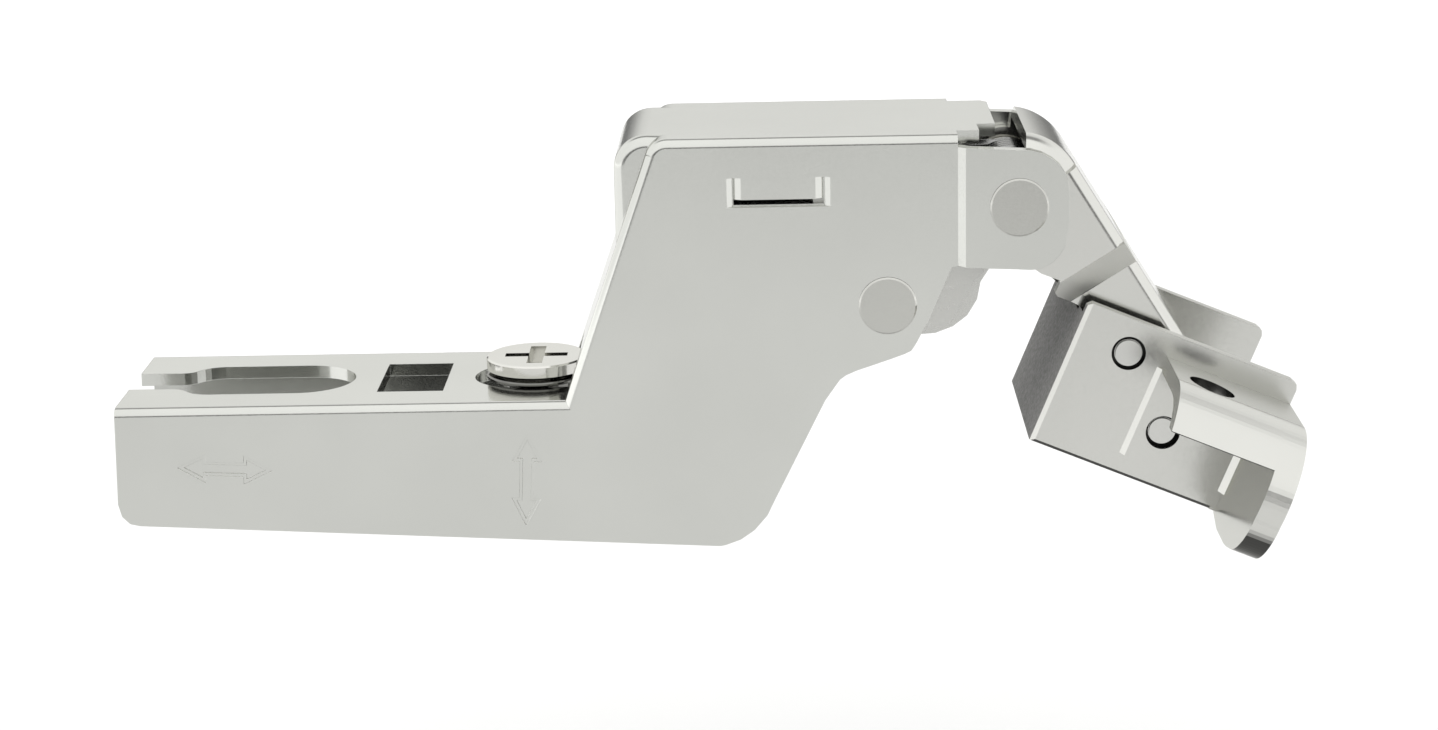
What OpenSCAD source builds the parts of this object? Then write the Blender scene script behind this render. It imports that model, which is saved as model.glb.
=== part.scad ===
// Concealed cupboard hinge, shown fully open: a stamped channel arm, two
// stamped links, and a die-cast door bracket with two screw ears.
// Millimetres. X runs along the arm towards the door, Y across it, Z up.
// The origin lies on the underside of the arm's low plate, on the middle
// plane, half way between the key slot's tip and the square window.

/* [Arm] */
// Sheet thickness of the arm
sheet_t = 1.2; // [1.1:0.05:1.25]
// Outside radius of the arm's long bends
bend_r = 0.8; // [0.5:0.1:1.1]
// Width of the key slot's throat, open to the rear
throat_w = 5.7; // [4.5:0.1:6.5]
// Width of the key slot's wide part
slot_w = 10; // [9:0.1:10.6]
// Length of the square window along the arm
window_l = 6.1; // [5:0.1:6.5]
// Height of the side adjusting screw's head above the plate
screw_lift = 0.75; // [0.6:0.05:1.0]

/* [Bracket] */
// Distance between the two ear screw holes
ear_pitch = 32; // [31:0.5:33]
// Diameter of the ear screw holes
ear_hole_d = 4.2; // [3.6:0.1:4.6]
// Height of the bracket's end wall
end_wall_h = 12.1; // [8:0.1:12.1]

/* [Hidden] */
$fn = 48;
arm_hw = 9.75;
arm_in = arm_hw - sheet_t;
low_z = sheet_t;
high_z = 25.1;
// pivots, X and Z
pa = [48.2, 9.7];
pb = [59.9, 18.6];
pc = [69.7, 5.1];
pd = [72.8, -2.2];
pin_r = 1.25;
pinb_r = 2.0;
// riser: outer line from foot to head
rf = [18.93, 1.2];
rh = [27.31, 25.1];
ris_a = atan((rh[0] - rf[0]) / (rh[1] - rf[1]));
// bracket frame
br_o = [60.86, 0, -2.86];
br_tilt = 22.5;
// outer link frame: along = front pivot to outer bracket pin
ol_a = 58.1931;

// upright slab: XZ outline from y0 to y1
module slab(y0, y1) {
  translate([0, y1, 0]) rotate([90, 0, 0]) linear_extrude(height = y1 - y0) children();
}
// the same slab on both sides
module both(y0, y1) {
  slab(y0, y1) children();
  slab(-y1, -y0) children();
}
// pin or bore along Y
module ycyl(p, r, y0, y1, f = 48) {
  translate([p[0], y1, p[1]]) rotate([90, 0, 0]) cylinder(r = r, h = y1 - y0, $fn = f);
}

// ---------- arm ----------
module arm_outline() {
  polygon([[-22.05, low_z], rf, rh, [54.5, high_z], [54.5, 13.2], [53.95, 13.1],
    [51.8, 8.0], [51.5, 7.65], [50.75, 6.2], [50.3, 5.5], [49.7, 5.2], [48.3, 4.7],
    [45.3, 3.7], [44.4, 3.3], [43.85, 2.9], [42.5, 1.0], [37.8, -8.35],
    [37.1, -9.8], [35.9, -11.2], [34.6, -12.1], [33.2, -12.6], [32.7, -12.68],
    [6.15, -11.3], [-20.4, -9.91], [-21.3, -9.7], [-22.0, -9.0], [-22.3, -7.8]]);
}
module arm_hollow() {
  t = sheet_t;
  polygon([[-30, -30], [-30, 0], [rf[0] + 0.849 * t / 1.2, 0],
    [rh[0] + 0.851 * t / 1.2, high_z - t], [70, high_z - t], [70, -30]]);
}
// edge tool: what a bend radius takes off a sharp edge that runs along X
module edge_x(x0, x1, z, r) {
  for (s = [-1, 1]) difference() {
    translate([x0, s > 0 ? arm_hw - r : -arm_hw - 0.5, z - r]) cube([x1 - x0, r + 0.5, r + 0.5]);
    translate([x0 - 1, s * (arm_hw - r), z - r]) rotate([0, 90, 0]) cylinder(r = r, h = x1 - x0 + 2);
  }
}
// the same for the riser edge
module edge_riser(r) {
  translate([rf[0], 0, rf[1]]) rotate([0, ris_a, 0]) for (s = [-1, 1]) difference() {
    translate([-0.5, s > 0 ? arm_hw - r : -arm_hw - 0.5, -4]) cube([r + 0.5, r + 0.5, 36]);
    translate([r, s * (arm_hw - r), -5]) cylinder(r = r, h = 38);
  }
}
// riser's side of the mitre through the inner corner at its foot
module mitre_half() {
  translate(rf) rotate((90 - ris_a) / 2) translate([0, -80]) square([80, 160]);
}
// the riser's head turns into the high plate with an outside radius of 2 mm;
// its centre, and the quarter of the plane above the riser
hcr = 2;
hc = [rh[0] + hcr * tan((90 - ris_a) / 2), rh[1] - hcr];
module head_side() {
  translate(hc) rotate(-ris_a) translate([-40, 0]) square([80, 60]);
}
module head_wedge() {
  polygon([hc, hc + 6 * [-cos(ris_a), sin(ris_a)], hc + [-5, 6], hc + [0, 6]]);
}
module arm_shell() {
  // low plate
  difference() {
    slab(-arm_hw, arm_hw) difference() {
      arm_outline();
      head_side();
      mitre_half();
    }
    edge_x(-23, 25, low_z, bend_r);
  }
  // riser
  difference() {
    slab(-arm_hw, arm_hw) intersection() {
      difference() {
        arm_outline();
        head_side();
      }
      mitre_half();
    }
    edge_riser(bend_r + 0.02);
  }
  // bend at the riser's head
  intersection() {
    translate([hc[0], 0, hc[1]]) rotate([90, 0, 0]) rotate_extrude($fn = 96) difference() {
      translate([hcr, 0]) mirror([1, 0]) round_section(hcr, arm_hw, bend_r);
      translate([-10, -20]) square([10, 40]);
    }
    slab(-12, 12) head_wedge();
  }
  // high plate
  difference() {
    slab(-arm_hw, arm_hw) intersection() {
      difference() {
        arm_outline();
        head_wedge();
      }
      head_side();
    }
    edge_x(25, 56, high_z, bend_r);
  }
}
// deep-drawn bulge at the head of the riser: a box with rounded edges whose
// front top corner is a quarter turn of the same rounded section
hx = 23.85;
hr = 3;
hump_y = 7.9;
// section with its first edge at 0 and two rounded corners there
module round_section(l, hw, er) {
  translate([er, -hw]) square([l - er, 2 * hw]);
  translate([0, -hw + er]) square([l, 2 * hw - 2 * er]);
  for (s = [-1, 1]) translate([er, s * (hw - er)]) circle(r = er);
}
module bulge(o) {
  hw = hump_y - o;
  er = 1;
  // front
  translate([hx + o, 0, 14.2]) linear_extrude(height = high_z - hr - 14.2) round_section(7 - o, hw, er);
  // top
  translate([hx + hr, 0, high_z - o]) rotate([0, 90, 0]) linear_extrude(height = 4) round_section(3 - o, hw, er);
  // corner
  intersection() {
    translate([hx + hr, 0, high_z - hr]) rotate([90, 0, 0]) rotate_extrude() difference() {
      translate([hr - o, 0]) mirror([1, 0]) round_section(hr - o, hw, er);
      translate([-10, -20]) square([10, 40]);
    }
    translate([hx - 1, -10, high_z - hr]) cube([hr + 1, 20, hr + 1]);
  }
}
module lug_outline() {
  polygon([[50, 24.0], [55.2, 24.0], [60.9, 23.7], [61.9, 23.4], [62.8, 22.9], [63.5, 22.3],
    [63.9, 21.7], [64.2, 20.9], [64.34, 19.9], [64.32, 17.4], [64.06, 15.6], [63.9, 14.9],
    [63.5, 14.25], [63.0, 13.65], [62.35, 13.24], [61.7, 12.98], [61.0, 12.9], [59.2, 13.0],
    [54.5, 13.2], [50, 13.25]]);
}
module lug_plan(s) {
  polygon([[54.2, s * arm_in], [54.5, s * arm_hw], [55.15, s * (arm_hw + 0.65)],
    [70, s * (arm_hw + 0.65)], [70, s * (arm_in + 0.65)], [55.45, s * (arm_in + 0.65)],
    [54.8, s * arm_in]]);
}
module double_arrow(l, w, hl, sw) {
  polygon([[-l / 2, 0], [-l / 2 + hl, w / 2], [-l / 2 + hl, sw / 2], [l / 2 - hl, sw / 2],
    [l / 2 - hl, w / 2], [l / 2, 0], [l / 2 - hl, -w / 2], [l / 2 - hl, -sw / 2],
    [-l / 2 + hl, -sw / 2], [-l / 2 + hl, -w / 2]]);
}
module key_slot() {
  // throat with a slightly flared mouth, then the wide part with its round tip
  translate([0, 0, -2]) linear_extrude(height = 5) {
    for (m = [0, 1]) mirror([0, m, 0])
      polygon([[-30, -0.1], [-30, throat_w / 2], [-17.9, throat_w / 2], [-17.35, throat_w / 2 + 0.15],
        [-16.85, throat_w / 2 + 0.55], [-16.2, slot_w / 2 - 0.8], [-15.7, slot_w / 2 - 0.38],
        [-15.1, slot_w / 2 - 0.12], [-14.4, slot_w / 2], [-6.2, slot_w / 2], [-6.2, -0.1]]);
    translate([-6.3, 0]) circle(r = slot_w / 2);
  }
}
module bridge_cut(s) {
  // lanced bridge: pressed-in strip with a slit below it
  y = s * arm_hw;
  translate([33.95, s > 0 ? y - 0.6 : y - 0.4, 18.86]) cube([9.25, 1.0, 2.68]);
  translate([34.55, s > 0 ? y - 2 : y - 1, 19.0]) cube([8.05, 3, 0.5]);
}
module bridge_fill(s) {
  y = s * arm_hw;
  // end bars and the flat strip
  linear_extrude(height = 2.68) {
    polygon([[33.9, y - s * 0.65], [33.9, y - s * 0.04], [34.46, y - s * 0.3], [34.46, y - s * 0.65]]);
    polygon([[43.25, y - s * 0.65], [43.25, y - s * 0.04], [42.69, y - s * 0.3], [42.69, y - s * 0.65]]);
  }
  translate([35.25, s > 0 ? y - 0.65 : y + 0.25, 0.64]) cube([6.6, 0.4, 2.1]);
  // the strip's bent ends
  translate([0, 0, 0.64]) linear_extrude(height = 2.04) {
    polygon([[35.3, y - s * 0.65], [35.3, y - s * 0.25], [35.25, y - s * 0.25], [34.55, y - s * 0.57], [34.55, y - s * 0.65]]);
    polygon([[41.8, y - s * 0.65], [41.8, y - s * 0.25], [41.85, y - s * 0.25], [42.55, y - s * 0.57], [42.55, y - s * 0.65]]);
  }
}
module hinge_arm() {
  color([0.77, 0.78, 0.76]) difference() {
    union() {
      difference() {
        union() {
          arm_shell();
          bulge(0);
          // plate tongue beyond the bends
          translate([54.4, -7.6, high_z - sheet_t]) cube([2.1, 15.3, sheet_t]);
          translate([56.4, -4.4, high_z - sheet_t]) linear_extrude(height = sheet_t)
            polygon([[0, 0], [1.75, 0.1], [1.75, 11.3], [1.2, 12.1], [0, 12.1]]);
        }
        difference() {
          slab(-arm_in, arm_in) arm_hollow();
          // keep the tongue
          translate([54.4, -7.6, high_z - sheet_t]) cube([2.1, 15.3, sheet_t]);
        }
        // hollow behind the bulge
        translate([hx + sheet_t, -hump_y + sheet_t, 16.4]) cube([6, 2 * (hump_y - sheet_t), high_z - hr - 16.4]);
        translate([hx + hr, -hump_y + sheet_t, high_z - hr - 1]) cube([4, 2 * (hump_y - sheet_t), hr + 1 - sheet_t]);
        ycyl([hx + hr, high_z - hr], hr - sheet_t, -hump_y + sheet_t, hump_y - sheet_t);
      }
      // lugs, joggled outwards
      for (s = [-1, 1]) intersection() {
        slab(-12, 12) lug_outline();
        translate([0, 0, 5]) linear_extrude(height = 25) lug_plan(s);
      }
    }
    key_slot();
    translate([1.3, -5, -2]) cube([window_l, 10, 5]);
    // hole round the side adjusting screw, open into the riser's foot
    translate([14.25, 0, -1]) cylinder(r = 4.3, h = 4);
    translate([14.25, -4.3, -1]) cube([8, 8.6, 3]);
    translate([17.2, -5, low_z]) cube([6, 10, 3.2]);
    // pivot bores
    ycyl(pa, pin_r + 0.02, -12, 12);
    ycyl(pb, pinb_r + 0.02, -12, 12);
    // lanced bridges
    difference() {
      bridge_cut(-1);
      translate([0, 0, 18.86]) bridge_fill(-1);
    }
    difference() {
      bridge_cut(1);
      translate([0, 0, 18.86]) bridge_fill(1);
    }
    // embossed arrows on both side walls
    for (s = [-1, 1]) {
      y0 = s > 0 ? arm_hw - 0.12 : -arm_hw - 1;
      slab(y0, y0 + 1.12) {
        translate([-12.32, -4.62]) rotate(-2.9) double_arrow(8.67, 2.7, 2.6, 1.3);
        translate([15.22, -6.08]) rotate(87.1) double_arrow(8.67, 2.7, 2.6, 1.3);
      }
      y1 = s > 0 ? arm_hw - 0.26 : -arm_hw - 1;
      slab(y1, y1 + 1.26) {
        translate([-12.32, -4.62]) rotate(-2.9) double_arrow(7.5, 1.83, 1.763, 0.8);
        translate([15.22, -6.08]) rotate(87.1) double_arrow(7.5, 1.83, 1.763, 0.8);
      }
    }
  }
}

// ---------- arm insert ----------
module insert_outline() {
  polygon([[41.0, 23.6], [55.0, 23.6], [55.2, 14.5], [56.7, 12.72], [56.9, 12.35],
    [56.0, 11.55], [54.1, 8.1], [53.6, 7.6], [52.9, 7.3], [52.3, 7.45], [51.6, 7.3],
    [50.2, 6.6], [45.2, 6.0], [43.2, 8.5]]);
}
module arm_insert() {
  color([0.66, 0.67, 0.65]) difference() {
    slab(-8.5, 8.5) insert_outline();
    slab(-7.9, 7.9) polygon([[30, 23.0], [60, 23.0], [60, 0], [30, 0]]);
    ycyl(pa, pin_r + 0.02, -12, 12);
  }
}

// ---------- side adjusting screw ----------
scx = 15.74;
head_z = low_z + screw_lift;
module side_adjusting_screw() {
  color([0.75, 0.76, 0.74]) translate([scx, 0, 0]) difference() {
    union() {
      // head with softened edges
      rotate_extrude() polygon([[0, head_z], [4.5, head_z], [4.66, head_z + 0.15],
        [4.66, head_z + 1.1], [4.51, head_z + 1.25], [0, head_z + 1.25]]);
      translate([0, 0, 1.4]) cylinder(r = 3.4, h = head_z - 1.3);
      // collar that lies on the plate
      rotate_extrude() polygon([[0, low_z + 0.03], [4.5, low_z + 0.03], [4.75, low_z + 0.2],
        [4.75, low_z + 0.35], [4.6, low_z + 0.47], [0, low_z + 0.47]]);
      translate([0, 0, -1.2]) cylinder(r = 3.4, h = 2.6);
      // thread, drawn as rings at its pitch
      rotate_extrude() polygon([[0, -1.1], [2.55, -1.1], [3.0, -1.5], [2.55, -1.9], [3.0, -2.3],
        [2.55, -2.7], [3.0, -3.1], [2.55, -3.5], [3.0, -3.9], [2.55, -4.3], [3.0, -4.7],
        [2.55, -5.1], [3.0, -5.5], [2.55, -5.9], [3.0, -6.3], [2.55, -6.7], [3.0, -7.1],
        [2.4, -7.7], [0, -7.7]]);
    }
    // cross recess, one slot a little broader than the other
    translate([-2.9, -0.6, head_z + 0.3]) cube([5.8, 1.2, 3]);
    translate([-0.73, -3.1, head_z + 0.37]) cube([1.46, 6.2, 3]);
  }
}

// ---------- pins ----------
// chamfered top of a rivet head
module head_rim(p, y, t) {
  translate([p[0], 0, p[1]]) rotate([t, 0, 0]) translate([0, 0, y]) cylinder(r1 = 2.62, r2 = 2.46, h = 0.12);
}
module front_rivet_pin() {
  color([0.71, 0.71, 0.69]) {
    ycyl(pb, pinb_r, -10.5, 10.5);
    ycyl(pb, 2.62, 10.4, 10.5);
    ycyl(pb, 2.62, -10.5, -10.4);
    for (t = [-90, 90]) head_rim(pb, 10.5, t);
  }
}
module rear_rivet_pin() {
  color([0.71, 0.71, 0.69]) {
    ycyl(pa, pin_r, -9.8, 9.8);
    ycyl(pa, 2.62, 9.75, 9.85);
    ycyl(pa, 2.62, -9.85, -9.75);
    for (t = [-90, 90]) head_rim(pa, 9.85, t);
  }
}
module bracket_pin_inner() {
  color([0.71, 0.71, 0.69]) {
    ycyl(pc, pin_r, -10.15, 10.15);
    ycyl(pc, 1.17, -10.4, 10.4);
  }
}
module bracket_pin_outer() {
  color([0.71, 0.71, 0.69]) {
    ycyl(pd, pin_r, -10.15, 10.15);
    ycyl(pd, 1.17, -10.4, 10.4);
  }
}

// ---------- spring parts on the front rivet pin ----------
module spring_sleeve() {
  color([0.2, 0.2, 0.21]) difference() {
    ycyl(pb, 2.4, -6.7, 6.7);
    ycyl(pb, pinb_r + 0.02, -8, 8);
  }
}
module closing_spring() {
  color([0.5, 0.5, 0.5]) translate([pb[0], 0, pb[1]]) for (s = [0, 1]) mirror([0, s, 0]) {
    // coil of five close turns
    translate([0, 0.9, 0]) rotate([-90, 0, 0]) rotate_extrude() for (k = [0 : 4])
      translate([3.0, 0.5 + k * 0.85]) circle(r = 0.5, $fn = 24);
    // outer leg under the insert's roof
    translate([0.3, 4.6, 3.02]) rotate([0, -92, 0]) cylinder(r = 0.43, h = 8.2, $fn = 24);
    // inner leg
    translate([2.4, 1.45, 1.4]) rotate([0, 60, 0]) cylinder(r = 0.43, h = 1.3, $fn = 24);
  }
  // bridge between the inner legs, facing the outer link's web
  color([0.5, 0.5, 0.5]) translate([pb[0] + 3.4, 1.9, pb[1] + 2.0]) rotate([90, 0, 0]) cylinder(r = 0.45, h = 3.8, $fn = 24);
}
module spacer(y0) {
  color([0.85, 0.84, 0.8]) difference() {
    ycyl(pb, 3.0, y0, y0 + 0.8);
    ycyl(pb, pinb_r + 0.02, -12, 12);
  }
}
module spacer_washer_left() spacer(6.9);
module spacer_washer_right() spacer(-7.7);

// ---------- outer link ----------
// drawn with the front pivot at 0,0 and the outer bracket pin on +U
module ol_frame() {
  translate([pb[0], 0, pb[1]]) rotate([0, ol_a, 0]) children();
}
// outline of the upper part: eye, then the flange down to the joggle
module ol_flange_up() {
  circle(r = 3.9);
  polygon([[0, 0], [3.0, -3.0], [6.5, -1.6], [9.0, 0.3], [10.3, 0.5], [10.3, 3], [0, 3]]);
}
module ol_flange_low() {
  // round the outer bracket pin; the flange above it is part of the skin
  polygon([[19.0, 3.8], [19.4, 3.6], [21.0, 1.5], [21.3, 0.0], [22.2, -2.2], [24.48, -3.3],
    [26.8, -2.3], [27.8, 0.0], [26.9, 2.4], [24.6, 3.9], [22.5, 5.1], [19.0, 5.1]]);
}
// skin: a channel whose barrel turns round the front pivot and then runs
// straight; its outer edges are rounded
module ol_skin(hw, x0, x1) {
  // straight run
  translate([x0, 0, 6.1]) rotate([0, 90, 0]) linear_extrude(height = x1 - x0) round_section(5.6, hw, 1);
}
module ol_barrel(hw) {
  intersection() {
    rotate([90, 0, 0]) rotate_extrude($fn = 96) difference() {
      translate([6.1, 0]) mirror([1, 0]) round_section(6.1, hw, 2.6);
      translate([-10, -20]) square([10, 40]);
    }
    slab(-12, 12) polygon([[0, 0], [0, 8.1], [-6, 8.1], [-9.8, 8.1]]);
  }
}
module outer_link() {
  color([0.80, 0.81, 0.79]) difference() {
    ol_frame() difference() {
      union() {
        // wide part down to the joggle
        ol_barrel(9.1);
        ol_skin(9.1, 0, 8.1);
        // joggle
        intersection() {
          translate([8.1, -9.1, 0.5]) cube([2.3, 18.2, 5.6]);
          translate([0, 0, -10]) linear_extrude(height = 30)
            polygon([[8.1, -9.1], [10.4, -8.0], [10.4, 8.0], [8.1, 9.1]]);
        }
        // narrow part
        ol_skin(8.0, 10.4, 22);
        for (s = [-1, 1]) {
          slab(s > 0 ? 7.9 : -9.1, s > 0 ? 9.1 : -7.9) intersection() {
            ol_flange_up();
            translate([-10, -10]) square([18.1, 20]);
          }
          intersection() {
            slab(s > 0 ? 6.5 : -9.1, s > 0 ? 9.1 : -6.5)
              polygon([[7.9, -0.35], [8.14, -0.63], [8.75, -1.5], [9.2, -1.5], [10.6, -0.64], [10.6, 2], [7.9, 2]]);
            translate([0, 0, -10]) linear_extrude(height = 30)
              polygon([[7.9, s * 9.1], [8.1, s * 9.1], [10.4, s * 8.0], [10.6, s * 8.0],
                [10.6, s * 6.8], [9.9, s * 6.8], [7.9, s * 7.9]]);
          }
          slab(s > 0 ? 6.8 : -8.0, s > 0 ? 8.0 : -6.8) {
            ol_flange_low();
            polygon([[10.45, -0.73], [11.17, -0.29], [12.3, 0.75], [12.3, 2], [10.45, 2]]);
          }
        }
      }
      // hollow
      translate([0, -7.9, -10]) cube([7.7, 15.8, 14.9]);
      translate([7.6, 0, -10]) linear_extrude(height = 14.9)
        polygon([[0, -7.9], [0.1, -7.9], [2.4, -6.8], [25, -6.8], [25, 6.8], [2.4, 6.8], [0.1, 7.9], [0, 7.9]]);
      ycyl([0, 0], 4.9, -7.9, 7.9, 96);
      // flange edge below the joggle and behind the inner link's eye
      slab(-12, 12) polygon([[10.5, -9], [10.5, -0.7], [11.17, -0.29], [12.3, 0.75], [13.0, 1.15], [14.5, 2.3],
        [15.2, 3.2], [16.8, 3.7], [19.4, 3.5], [21.0, 1.5], [21.3, 0.0], [21.3, -9]]);
    }
    ycyl(pb, pinb_r + 0.05, -12, 12);
    ycyl(pd, pin_r + 0.04, -12, 12);
    // nothing of the flange reaches behind the joggled lugs
    translate([40, -12, 5]) cube([15.9, 24, 30]);
  }
}

// ---------- inner link ----------
module il_outline() {
  polygon([[45.6, 9.9], [45.8, 8.6], [46.6, 7.5], [47.5, 6.9], [49.0, 6.4], [51.0, 6.2],
    [52.6, 6.3], [54.2, 6.9], [55.5, 7.9], [56.4, 9.4], [56.7, 11.0], [57.6, 12.4],
    [59.0, 13.0], [62.0, 12.3], [65.1, 9.46], [66.83, 8.15], [67.38, 6.35], [67.15, 4.5], [68.0, 3.15],
    [69.4, 2.5], [70.8, 2.72], [71.9, 3.6], [72.25, 4.9], [72.2, 5.8], [71.6, 6.9],
    [69.1, 9.1], [66.3, 10.98], [64.7, 12.9], [62.0, 15.4], [59.9, 16.0], [57.6, 15.8],
    [55.0, 15.6], [51, 14.6], [47.4, 12.6], [46.0, 11.4]]);
}
module il_window() {
  polygon([[46.65, 9.9], [46.65, 9.2], [47.1, 8.45], [47.75, 8.1], [49.2, 7.55], [50.9, 7.3],
    [52.2, 7.35], [53.6, 7.8], [54.75, 8.75], [55.35, 10.0], [55.4, 11.0], [54.8, 12.3],
    [53.6, 13.1], [52.3, 13.35], [51.05, 13.25], [49.5, 12.75], [48.25, 12.0], [47.1, 10.95]]);
}
module inner_link() {
  color([0.72, 0.73, 0.71]) difference() {
    union() {
      both(5.6, 6.6) difference() {
        il_outline();
        il_window();
      }
      // web along the underside
      slab(-5.7, 5.7) polygon([[57.6, 12.4], [59.0, 13.0], [62.0, 12.3], [65.1, 9.46],
        [65.81, 10.14], [62.5, 13.2], [59.0, 14.05], [57.3, 13.3]]);
    }
    ycyl(pc, pin_r + 0.04, -12, 12);
  }
}

// ---------- door bracket ----------
module br_frame() {
  translate(br_o) rotate([0, br_tilt, 0]) children();
}
cu = [5.1209, 10.7370];
du = [10.7786, 5.1790];
// points of an arc, for the ear's outer edge that falls away in an arc
function arc_pts(c, r, a0, a1, n) = [for (i = [0 : n]) [c[0] + r * cos(a0 + (a1 - a0) * i / n),
  c[1] + r * sin(a0 + (a1 - a0) * i / n)]];
module wing_section() {
  polygon(concat([[10.4, 11.7], [18.1, 11.7]],
    arc_pts([18.1, 5.27], 6.43, 88, 29, 15),
    [[23.66, 8.3], [22.2, 8.3], [21.6, 9.0], [20.4, 9.75], [19.2, 10.15], [18.0, 10.3],
    [10.4, 10.3]]));
}
module wing_end() {
  polygon(concat([[10.4, 11.7], [18.1, 11.7]], arc_pts([18.1, 5.27], 6.43, 88, -12, 24),
    arc_pts([20.15, 4.0], 4.27, -5, -84, 16),
    [[19.4, -0.5], [18.1, -0.62], [14, -0.65], [10.4, -0.1]]));
}
// extrude a Y-W section along U
module along_u(u0, u1) {
  translate([u0, 0, 0]) rotate([90, 0, 90]) linear_extrude(height = u1 - u0) children();
}
module door_bracket() {
  color([0.74, 0.75, 0.73]) br_frame() difference() {
    union() {
      both(9.3, 10.5) polygon([[0, 0], [0, 13.4], [0.4, 13.8], [19.7, 13.8], [20.25, 13.6],
        [20.45, 13.1], [20.45, 0]]);
      // end wall and part of the floor
      translate([0, -9.4, 0]) cube([1.2, 18.8, end_wall_h]);
      for (y = [-9.4, 6.75]) translate([0, y, end_wall_h - 1]) cube([1.2, 2.65, 1.4]);
      translate([0, -9.4, 0]) cube([7.5, 18.8, 1.2]);
      for (s = [0, 1]) mirror([0, s, 0]) {
        along_u(8.5, 18.2) wing_section();
        along_u(18.1, 20.45) wing_end();
        // raised panel below the ear, with a slanted left face
        translate([0, 0, 1.95]) linear_extrude(height = 8.6)
          polygon([[7.97, 10.4], [7.97, 10.5], [8.42, 10.95], [18.2, 10.95], [18.2, 10.4]]);
        // gusset between the panel and the end piece
        translate([0, 0, 1.95]) linear_extrude(height = 8.5)
          polygon([[17.5, 10.9], [18.15, 10.9], [18.15, 11.6]]);
      }
    }
    // chamfer on the outer upright edges of the end wall
    for (s = [0, 1]) mirror([0, s, 0])
      translate([0, 10.5, -1]) rotate([0, 0, 45]) translate([-0.3, -0.3, 0]) cube([0.6, 0.6, 20]);
    // and on the walls' lower edges, up to the end pieces
    for (s = [0, 1]) mirror([0, s, 0])
      translate([-1, 10.5, 0]) rotate([45, 0, 0]) translate([0, -0.22, -0.22]) cube([18.6, 0.44, 0.44]);
    // ear screw holes
    for (s = [-1, 1]) translate([12, s * ear_pitch / 2, 8]) cylinder(d = ear_hole_d, h = 6);
    // pin bores with a shallow ring sunk round each pin end
    for (p = [cu, du]) {
      ycyl(p, pin_r + 0.02, -12, 12);
      ycyl(p, 1.54, 9.7, 12);
      ycyl(p, 1.54, -12, -9.7);
    }
  }
}

hinge_arm();
arm_insert();
side_adjusting_screw();
front_rivet_pin();
rear_rivet_pin();
spring_sleeve();
closing_spring();
spacer_washer_left();
spacer_washer_right();
outer_link();
inner_link();
door_bracket();
bracket_pin_inner();
bracket_pin_outer();
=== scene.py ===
import math

import bmesh
import bpy
from mathutils import Matrix, Vector

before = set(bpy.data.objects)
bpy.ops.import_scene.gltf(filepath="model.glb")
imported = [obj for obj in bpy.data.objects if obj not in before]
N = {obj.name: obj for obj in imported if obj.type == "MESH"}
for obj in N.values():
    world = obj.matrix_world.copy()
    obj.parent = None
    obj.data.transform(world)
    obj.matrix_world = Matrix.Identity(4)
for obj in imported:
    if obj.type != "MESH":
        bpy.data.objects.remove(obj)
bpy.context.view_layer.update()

scene = bpy.context.scene


# ---------------------------------------------------------------- materials
class Mat:
    """A node material put together step by step."""

    def __init__(self, name):
        self.m = bpy.data.materials.new(name)
        self.m.use_nodes = True
        self.t = self.m.node_tree
        self.t.nodes.clear()
        self.out = self.t.nodes.new("ShaderNodeOutputMaterial")
        self.b = self.t.nodes.new("ShaderNodeBsdfPrincipled")
        self.t.links.new(self.b.outputs[0], self.out.inputs[0])
        self.co = self.t.nodes.new("ShaderNodeTexCoord")

    def node(self, kind, **kw):
        n = self.t.nodes.new(kind)
        for k, v in kw.items():
            setattr(n, k, v)
        return n

    def link(self, a, b):
        self.t.links.new(a, b)

    def noise(self, scale, detail=4.0, rough=0.5, stretch=(1, 1, 1)):
        mp = self.node("ShaderNodeMapping")
        mp.inputs["Scale"].default_value = stretch
        self.link(self.co.outputs["Object"], mp.inputs["Vector"])
        n = self.node("ShaderNodeTexNoise")
        n.inputs["Scale"].default_value = scale
        n.inputs["Detail"].default_value = detail
        n.inputs["Roughness"].default_value = rough
        self.link(mp.outputs[0], n.inputs["Vector"])
        return n.outputs["Fac"]

    def span(self, fac, lo, hi, f0=0.3, f1=0.7):
        r = self.node("ShaderNodeMapRange")
        r.inputs["From Min"].default_value = f0
        r.inputs["From Max"].default_value = f1
        r.inputs["To Min"].default_value = lo
        r.inputs["To Max"].default_value = hi
        self.link(fac, r.inputs["Value"])
        return r.outputs[0]

    def ramp(self, fac, c0, c1, p0=0.3, p1=0.7):
        r = self.node("ShaderNodeValToRGB")
        r.color_ramp.elements[0].position = p0
        r.color_ramp.elements[1].position = p1
        r.color_ramp.elements[0].color = (*c0, 1)
        r.color_ramp.elements[1].color = (*c1, 1)
        self.link(fac, r.inputs[0])
        return r.outputs[0]

    def scaled(self, col, fac):
        """Colour times a number."""
        c = self.node("ShaderNodeVectorMath", operation="SCALE")
        self.link(col, c.inputs[0])
        self.link(fac, c.inputs["Scale"])
        return c.outputs[0]

    def math(self, op, a, b=None):
        n = self.node("ShaderNodeMath", operation=op)
        for k, v in enumerate((a, b)):
            if v is None:
                continue
            if isinstance(v, (int, float)):
                n.inputs[k].default_value = v
            else:
                self.link(v, n.inputs[k])
        return n.outputs[0]

    def place(self):
        """Position on the part in millimetres, as x, y, z."""
        sep = self.node("ShaderNodeSeparateXYZ")
        self.link(self.co.outputs["Object"], sep.inputs[0])
        return [self.math("MULTIPLY", o, 1000.0) for o in sep.outputs]

    def bump(self, height, strength, dist):
        b = self.node("ShaderNodeBump")
        b.inputs["Strength"].default_value = strength
        b.inputs["Distance"].default_value = dist
        self.link(height, b.inputs["Height"])
        return b


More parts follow.
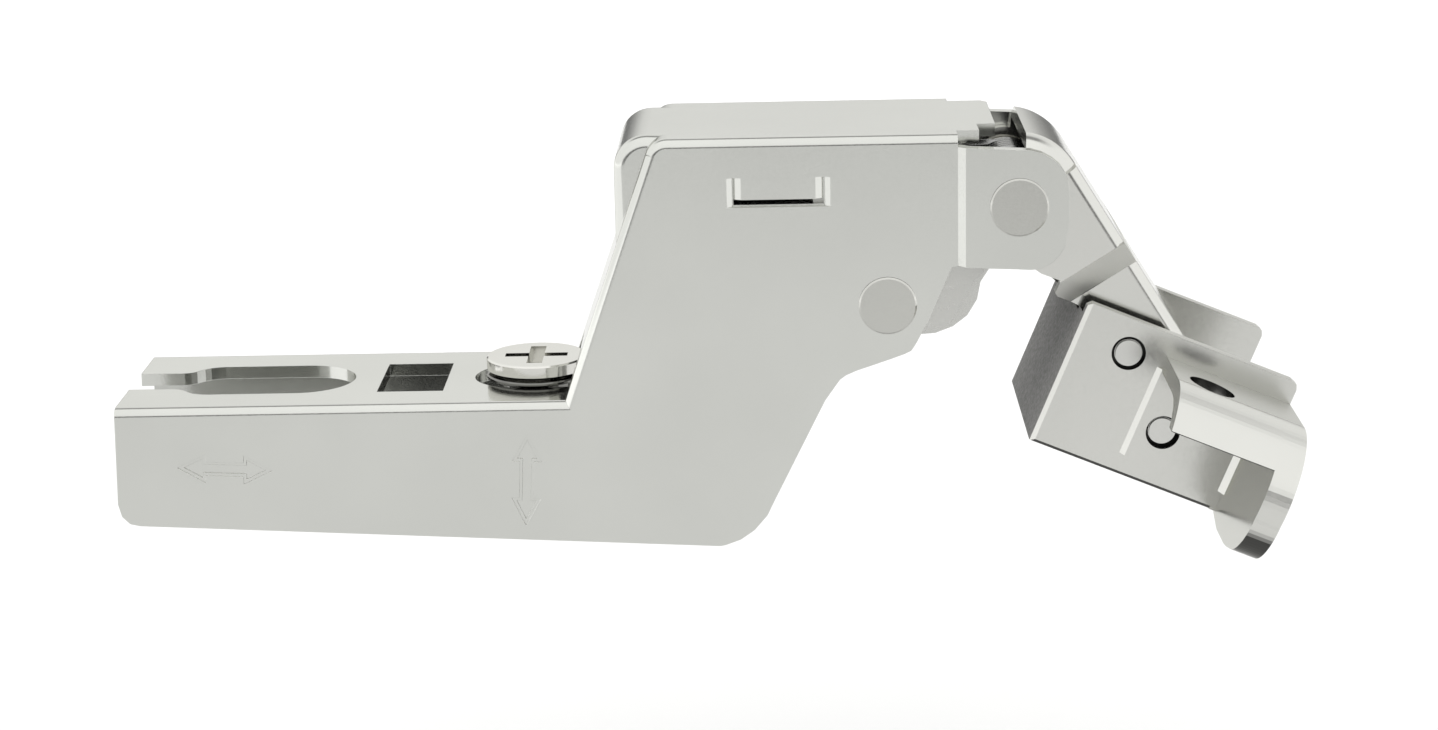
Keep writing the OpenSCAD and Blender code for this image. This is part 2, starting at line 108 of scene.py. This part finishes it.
def metal(name, c, rough, spread=0.04, tint=0.03, grain=5000, bump=0.04, metallic=1.0, underside_shade_range=(0.4, -0.8, -0.5), painted_shade=None, shade_patch=None, rough_at=None, edge=0.88, soft=0.0):
    """Plated steel: fine grain, a slow tint, and a painted shade that darkens the colour on downward-facing faces.
    """
    m = Mat(name)
    m.b.inputs["Metallic"].default_value = metallic
    m.b.inputs["Specular Tint"].default_value = (edge, edge, edge * 0.98, 1)
    fine = m.noise(grain, 5.0, 0.6)
    broad = m.noise(60, 3.0, 0.5)
    col = m.ramp(broad, tuple(v * (1 - tint) for v in c), tuple(min(1, v * (1 + tint)) for v in c))
    geo = m.node("ShaderNodeNewGeometry")
    sep = m.node("ShaderNodeSeparateXYZ")
    m.link(geo.outputs["Normal"], sep.inputs[0])
    # painted shade: the colour is darkened on downward-facing faces
    underside_shade = m.span(sep.outputs[2], underside_shade_range[0], 1.0, underside_shade_range[1], underside_shade_range[2])
    col = m.scaled(col, underside_shade)
    # painted shade: the part's shade function darkens the colour by place
    if painted_shade:
        col = m.scaled(col, painted_shade(m))
    r = m.span(fine, rough - spread, rough + spread)
    if rough_at:
        where, value = rough_at(m)
        r = m.math("MAXIMUM", r, m.math("MULTIPLY", where, value))
    # painted shade: where the patch covers, the colour turns to a dull grey non-metal tone
    if shade_patch:
        where, tone = shade_patch(m)
        mix = m.node("ShaderNodeMix", data_type="RGBA")
        m.link(where, mix.inputs["Factor"])
        m.link(col, mix.inputs[6])
        m.link(tone, mix.inputs[7])
        col = mix.outputs[2]
        m.link(m.math("MULTIPLY", m.math("SUBTRACT", 1.0, where), metallic), m.b.inputs["Metallic"])
        r = m.math("MAXIMUM", r, m.math("MULTIPLY", where, 0.85))
    m.link(col, m.b.inputs["Base Color"])
    m.link(r, m.b.inputs["Roughness"])
    b = m.bump(fine, bump, 0.00004)
    if soft:
        # pressed edges are slightly round
        e = m.node("ShaderNodeBevel")
        e.samples = 6
        e.inputs["Radius"].default_value = soft
        m.link(e.outputs[0], b.inputs["Normal"])
    m.link(b.outputs[0], m.b.inputs["Normal"])
    return m.m


def plastic(name, c, rough=0.5, spec=0.5):
    m = Mat(name)
    m.b.inputs["Specular IOR Level"].default_value = spec
    fine = m.noise(1200, 4.0, 0.6)
    m.link(m.ramp(fine, tuple(v * 0.9 for v in c), tuple(min(1, v * 1.1) for v in c)), m.b.inputs["Base Color"])
    m.link(m.span(fine, rough - 0.06, rough + 0.06), m.b.inputs["Roughness"])
    b = m.bump(fine, 0.15, 0.00003)
    m.link(b.outputs[0], m.b.inputs["Normal"])
    return m.m


def bracket_uw(m):
    """Place in the bracket's own frame: along its floor, across, and up from it."""
    x, y, z = m.place()
    cs, sn = math.cos(math.radians(22.5)), math.sin(math.radians(22.5))
    dx = m.math("SUBTRACT", x, 60.86)
    dz = m.math("SUBTRACT", z, -2.86)
    u = m.math("SUBTRACT", m.math("MULTIPLY", dx, cs), m.math("MULTIPLY", dz, sn))
    w = m.math("ADD", m.math("MULTIPLY", dx, sn), m.math("MULTIPLY", dz, cs))
    return x, m.math("ABSOLUTE", y), z, u, w


def bracket_gap_shade(m):
    """Painted shade: dark rings in the gaps round the pins, and darker walls inside the ear holes."""
    x, ay, z, u, w = bracket_uw(m)
    out = None
    # painted shade in the ring gap round each pin
    for px, pz in ((69.7, 5.1), (72.8, -2.2)):
        rx = m.math("SUBTRACT", x, px)
        rz = m.math("SUBTRACT", z, pz)
        r = m.math("SQRT", m.math("ADD", m.math("MULTIPLY", rx, rx), m.math("MULTIPLY", rz, rz)))
        ring = m.math("MULTIPLY", m.span(r, 1.0, 0.0, 1.535, 1.56), m.span(ay, 1.0, 0.0, 10.4, 10.5))
        one = m.math("SUBTRACT", 1.0, m.math("MULTIPLY", ring, 0.96))
        out = one if out is None else m.math("MULTIPLY", out, one)
    # painted shade on the walls inside the ear hole
    hu = m.math("SUBTRACT", u, 12.0)
    hy = m.math("SUBTRACT", ay, 16.0)
    r = m.math("SQRT", m.math("ADD", m.math("MULTIPLY", hu, hu), m.math("MULTIPLY", hy, hy)))
    hole = m.span(r, 0.75, 0.0, 2.11, 2.16)
    return m.math("MULTIPLY", out, m.math("SUBTRACT", 1.0, hole))


def bracket_end_wall_shade(m):
    """Painted shade on the end wall: a dull grey non-metal tone with grain."""
    x, ay, z, u, w = bracket_uw(m)
    # painted shade tone for the end wall
    grain = m.noise(2600, 3.0, 0.7)
    tone = m.ramp(grain, (0.135, 0.134, 0.131), (0.265, 0.262, 0.256), 0.32, 0.68)
    return m.math("MULTIPLY", m.span(u, 1.0, 0.0, 0.02, 0.06), m.span(ay, 1.0, 0.0, 10.15, 10.25)), tone


def bracket_rough(m):
    """The walls' upper edges and the ears' upper faces are left as cast."""
    x, ay, z, u, w = bracket_uw(m)
    top = m.math("MULTIPLY", m.span(w, 0.0, 1.0, 13.72, 13.78), m.span(u, 1.0, 0.0, 20.0, 20.2))
    ear = m.math("MULTIPLY", m.span(w, 0.0, 1.0, 11.64, 11.69), m.span(ay, 0.0, 1.0, 10.52, 10.6))
    ear = m.math("MULTIPLY", ear, m.span(ay, 1.0, 0.0, 17.9, 18.1))
    return m.math("MAXIMUM", top, ear), 0.42


def screw_head_shade(m):
    """Painted shade between the head and the plate: the colour is darkened below the head."""
    x, y, z = m.place()
    # painted shade below the head
    return m.span(z, 0.30, 1.0, SCREW_HEAD_Z - 0.06, SCREW_HEAD_Z - 0.02)


def link_rough(m):
    """The joggle is duller than the straight runs."""
    x, y, z = m.place()
    along = m.math("ADD", m.math("MULTIPLY", m.math("SUBTRACT", x, 59.9), 0.5270), m.math("MULTIPLY", m.math("SUBTRACT", z, 18.6), -0.8497))
    return m.math("MULTIPLY", m.span(along, 0.0, 1.0, 8.0, 8.2), m.span(along, 1.0, 0.0, 10.3, 10.5)), 0.45


SCREW_HEAD_Z = 1.95


def pin_side_shade(m):
    """Painted shade: dark round the pin's side, plain on its ends."""
    geo = m.node("ShaderNodeNewGeometry")
    sep = m.node("ShaderNodeSeparateXYZ")
    m.link(geo.outputs["Normal"], sep.inputs[0])
    # painted shade on faces that don't point along the pin
    return m.span(m.math("ABSOLUTE", sep.outputs[1]), 0.06, 1.0, 0.3, 0.8)


def channel_shade(lim, y_in, keep):
    """Painted shade inside the channel, between the walls and beneath the roof, and a grainy painted shade low
    between the walls for x below 20 mm.
    """
    def f(m):
        x, y, z = m.place()
        ay = m.math("ABSOLUTE", y)
        # painted shade inside the channel
        inside = m.math("MULTIPLY", m.span(ay, 1.0, 0.0, y_in - 0.02, y_in + 0.02), m.span(x, 0.0, 1.0, lim[0], lim[0] + 0.5))
        inside = m.math("MULTIPLY", inside, m.span(z, 1.0, 0.0, lim[1] - 0.3, lim[1]))
        # grainy painted shade low between the walls, for x below 20 mm
        low = m.math("MULTIPLY", m.span(ay, 1.0, 0.0, y_in - 0.02, y_in + 0.02), m.span(z, 1.0, 0.0, -0.25, -0.05))
        low = m.math("MULTIPLY", low, m.span(x, 1.0, 0.0, 19.0, 20.0))
        grain = m.noise(2400, 3.0, 0.7)
        low = m.math("MULTIPLY", low, m.span(grain, 0.75, 1.0, 0.3, 0.7))
        low = m.math("MULTIPLY", low, m.span(x, 0.18, 0.62, -1.0, 1.0))
        out = m.math("SUBTRACT", 1.0, m.math("MULTIPLY", inside, 1 - keep))
        return m.math("MULTIPLY", out, m.math("SUBTRACT", 1.0, low))
    return f


NICKEL = (0.55, 0.555, 0.53)
# painted shade: every metal is darkened on downward-facing faces, and some parts get painted shade in gaps and
# hollows
MATS = {
    "hinge_arm": metal("arm_nickel", NICKEL, 0.15, 0.03, soft=0.00008, painted_shade=channel_shade((28.0, 23.8), 8.6, 0.45)),
    "arm_insert": metal("insert_nickel", (0.50, 0.50, 0.48), 0.30, grain=2600, bump=0.3, tint=0.12),
    "side_adjusting_screw": metal("screw_nickel", (0.60, 0.595, 0.565), 0.12, 0.03, painted_shade=screw_head_shade),
    "front_rivet_pin": metal("rivet_steel_front", (0.475, 0.475, 0.45), 0.20, painted_shade=pin_side_shade),
    "rear_rivet_pin": metal("rivet_steel_rear", (0.475, 0.475, 0.45), 0.20, painted_shade=pin_side_shade),
    "spring_sleeve": plastic("sleeve_black", (0.02, 0.02, 0.021)),
    "closing_spring": metal("spring_wire", (0.30, 0.30, 0.295), 0.28),
    "spacer_washer_left": plastic("spacer_pale", (0.62, 0.60, 0.54)),
    "spacer_washer_right": plastic("spacer_pale_b", (0.62, 0.60, 0.54)),
    "outer_link": metal("link_nickel", (0.575, 0.575, 0.55), 0.15, 0.03, rough_at=link_rough),
    "inner_link": metal("link_nickel_inner", (0.52, 0.52, 0.50), 0.26),
    "door_bracket": metal("casting_nickel", (0.565, 0.565, 0.54), 0.22, 0.03, 0.03, 2500, 0.05, underside_shade_range=(0.10, -0.40, -0.22), painted_shade=bracket_gap_shade, shade_patch=bracket_end_wall_shade, rough_at=bracket_rough),
    "bracket_pin_inner": metal("pin_steel_a", (0.57, 0.57, 0.55), 0.22, painted_shade=pin_side_shade),
    "bracket_pin_outer": metal("pin_steel_b", (0.57, 0.57, 0.55), 0.22, painted_shade=pin_side_shade),
}
for name, mat in MATS.items():
    o = N[name]
    for s in o.material_slots:
        s.material = mat


# ---------------------------------------------------------------- studio
def plane(name, x0, x1, y0, y1, z, mat):
    me = bpy.data.meshes.new(name)
    me.from_pydata([(x0, y0, z), (x1, y0, z), (x1, y1, z), (x0, y1, z)], [], [(0, 1, 2, 3)])
    o = bpy.data.objects.new(name, me)
    scene.collection.objects.link(o)
    me.materials.append(mat)
    return o


fm = Mat("floor_pale")
fn = fm.noise(3.0, 2.0)
fm.link(fm.ramp(fn, (0.77, 0.77, 0.77), (0.79, 0.79, 0.79)), fm.b.inputs["Base Color"])
fm.b.inputs["Roughness"].default_value = 0.9
fm.b.inputs["Specular IOR Level"].default_value = 0.0
plane("floor", -0.9, 1.0, -0.62, 0.75, -0.05, fm.m)

# soft surround: a broad bright ceiling, a paler back, a dim gap between them
# and a dim strip at the front horizon
world = bpy.data.worlds.new("studio")
scene.world = world
world.use_nodes = True
wt = world.node_tree
wt.nodes.clear()
wo = wt.nodes.new("ShaderNodeOutputWorld")
bg = wt.nodes.new("ShaderNodeBackground")
tc = wt.nodes.new("ShaderNodeTexCoord")
sx = wt.nodes.new("ShaderNodeSeparateXYZ")
wt.links.new(tc.outputs["Generated"], sx.inputs[0])


def wmath(op, a, b=None):
    n = wt.nodes.new("ShaderNodeMath")
    n.operation = op
    for k, v in enumerate((a, b)):
        if v is None:
            continue
        if isinstance(v, (int, float)):
            n.inputs[k].default_value = v
        else:
            wt.links.new(v, n.inputs[k])
    return n.outputs[0]


# angle round the X axis: 0 at the front horizon, 90 overhead, 180 behind
phi = wmath("ARCTAN2", sx.outputs[2], wmath("MULTIPLY", sx.outputs[1], -1.0))
turn = wmath("DIVIDE", phi, math.pi)
ring = wt.nodes.new("ShaderNodeValToRGB")
ring.color_ramp.interpolation = "LINEAR"
STOPS = [(0.0, 0.22), (3, 0.30), (8, 1.40), (104, 1.46), (112, 0.45), (124, 0.40), (136, 1.15), (160, 1.24), (170, 1.15), (176, 0.42), (180, 0.30)]
MAXV = 1.6
stops = ring.color_ramp.elements
for deg, v in STOPS[1:-1]:
    stops.new(deg / 180.0).color = (v / MAXV, v / MAXV, v / MAXV, 1)
for e, v in ((stops[0], STOPS[0][1]), (stops[len(stops) - 1], STOPS[-1][1])):
    e.color = (v / MAXV, v / MAXV, v / MAXV, 1)
wt.links.new(turn, ring.inputs[0])
lum = wmath("MULTIPLY", ring.outputs[0], MAXV)
# towards the sides the ring fades into an even bright tone
side = wmath("MINIMUM", wmath("MULTIPLY", wmath("MAXIMUM", wmath("SUBTRACT", wmath("ABSOLUTE", sx.outputs[0]), 0.40), 0.0), 4.0), 1.0)
lum = wmath("ADD", wmath("MULTIPLY", lum, wmath("SUBTRACT", 1.0, side)), wmath("MULTIPLY", side, 1.38))
wt.links.new(lum, bg.inputs["Strength"])
bg.inputs["Color"].default_value = (1, 1, 0.99, 1)
wt.links.new(bg.outputs[0], wo.inputs[0])


def card(name, loc, target, size, size_y, radiance, **seen):
    """A soft light panel of a given brightness."""
    l = bpy.data.lights.new(name, "AREA")
    l.shape = "RECTANGLE"
    l.size = size
    l.size_y = size_y
    l.energy = radiance * math.pi * size * size_y
    o = bpy.data.objects.new(name, l)
    scene.collection.objects.link(o)
    o.location = loc
    o.rotation_euler = (Vector(target) - Vector(loc)).to_track_quat("-Z", "Y").to_euler()
    for k, v in seen.items():
        setattr(o, k, v)
    return o


card("left_panel", (-0.135, -0.03, -0.013), (0.05, -0.03, -0.013), 0.40, 0.07, 0.42, visible_diffuse=False)
card("right_panel", (0.225, -0.03, -0.013), (0.05, -0.03, -0.013), 0.40, 0.07, 0.42, visible_diffuse=False)
card("backdrop_light", (0.04, 0.62, 0.60), (0.04, 0.55, -0.05), 0.9, 0.5, 1.2, visible_glossy=False)


# ---------------------------------------------------------------- camera
el, az, roll = math.radians(14.77), math.radians(1.22), math.radians(1.26)
F = Vector((-math.sin(az) * math.cos(el), math.cos(az) * math.cos(el), -math.sin(el)))
R0 = Vector((math.cos(az), math.sin(az), 0))
U0 = R0.cross(F)
R = R0 * math.cos(roll) - U0 * math.sin(roll)
U = U0 * math.cos(roll) + R0 * math.sin(roll)
cam = bpy.data.cameras.new("camera")
cam.lens = 76.005
cam.sensor_width = 36.0
cam.sensor_fit = "HORIZONTAL"
cam.clip_start = 0.01
cam.clip_end = 20
co = bpy.data.objects.new("camera", cam)
scene.collection.objects.link(co)
M = Matrix(((R.x, U.x, -F.x, 0.03860), (R.y, U.y, -F.y, -0.27417), (R.z, U.z, -F.z, 0.07419), (0, 0, 0, 1)))
co.matrix_world = M
scene.camera = co
scene.view_settings.view_transform = "Standard"
